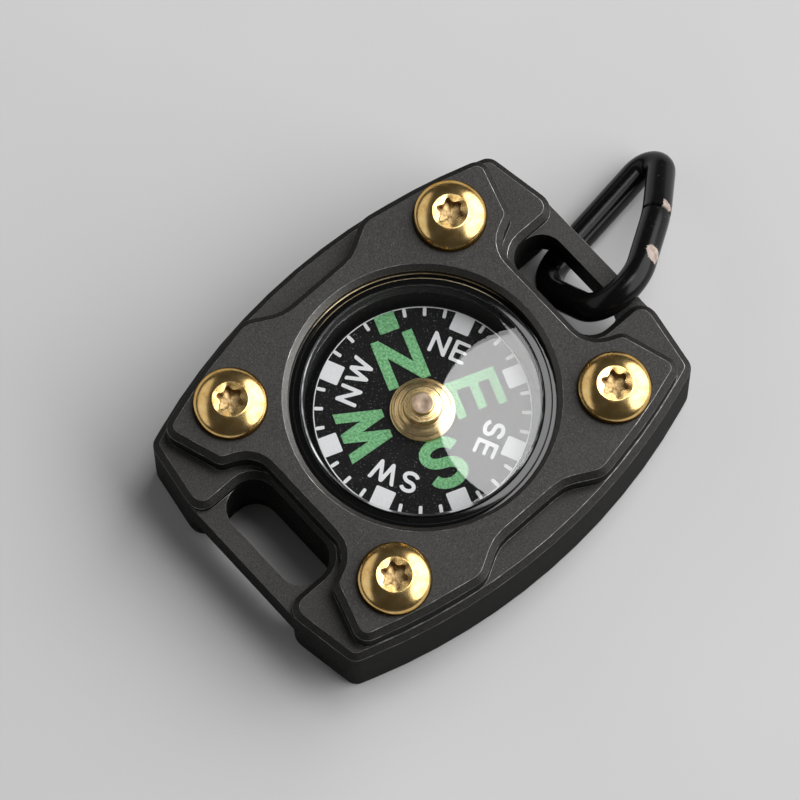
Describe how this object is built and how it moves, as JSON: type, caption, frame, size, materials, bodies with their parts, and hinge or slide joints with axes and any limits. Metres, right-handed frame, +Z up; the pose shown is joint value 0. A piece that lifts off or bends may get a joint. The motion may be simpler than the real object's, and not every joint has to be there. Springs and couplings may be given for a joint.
{
  "type": "luminous compass",
  "caption": "Luminous button compass in a machined metal case with brass corner screws, a cord slot at one end and a swinging wire ring at the other.",
  "frame": {"origin": "centre of the case's flat back, on its back plate", "axes": "+X along the case towards the ring end, +Z up out of the window, z = 0 at the back"},
  "size_m": [0.0464, 0.0288, 0.0108],
  "materials": {
    "case_metal": "bead blasted, dark grey",
    "brass": "polished",
    "black_gloss": "glossy",
    "crystal": "clear",
    "rubber": "matte",
    "card_black": "fine grained, with green and white printed marks",
    "steel": "polished",
    "jewel": "polished",
    "magnet": "satin",
    "black_wire": "glossy black plating"
  },
  "bodies": {
    "case": {"case_body": "case_metal", "back_plate": "case_metal", "case_screw_1": "brass", "case_screw_2": "brass", "case_screw_3": "brass", "case_screw_4": "brass", "capsule_pad": "rubber", "capsule_cup": "black_gloss", "capsule_rim": "black_gloss", "capsule_lens": "crystal", "pivot_pin": "steel"},
    "card": {"compass_card": "card_black", "hub_cap": "brass", "jewel_bearing": "jewel", "magnet_1": "magnet", "magnet_2": "magnet"},
    "ring": {"key_ring": "black_wire"}
  },
  "joints": [
    {"name": "card_turn", "type": "hinge", "parent": "case", "child": "card", "pos_m": [0, 0, 0.0055], "axis": [0, 0, 1], "continuous": true},
    {"name": "ring_swing", "type": "hinge", "parent": "case", "child": "ring", "pos_m": [0.0174, 0, 0.0047], "axis": [0, -1, 0], "range_deg": [-65, 115]}
  ]
}
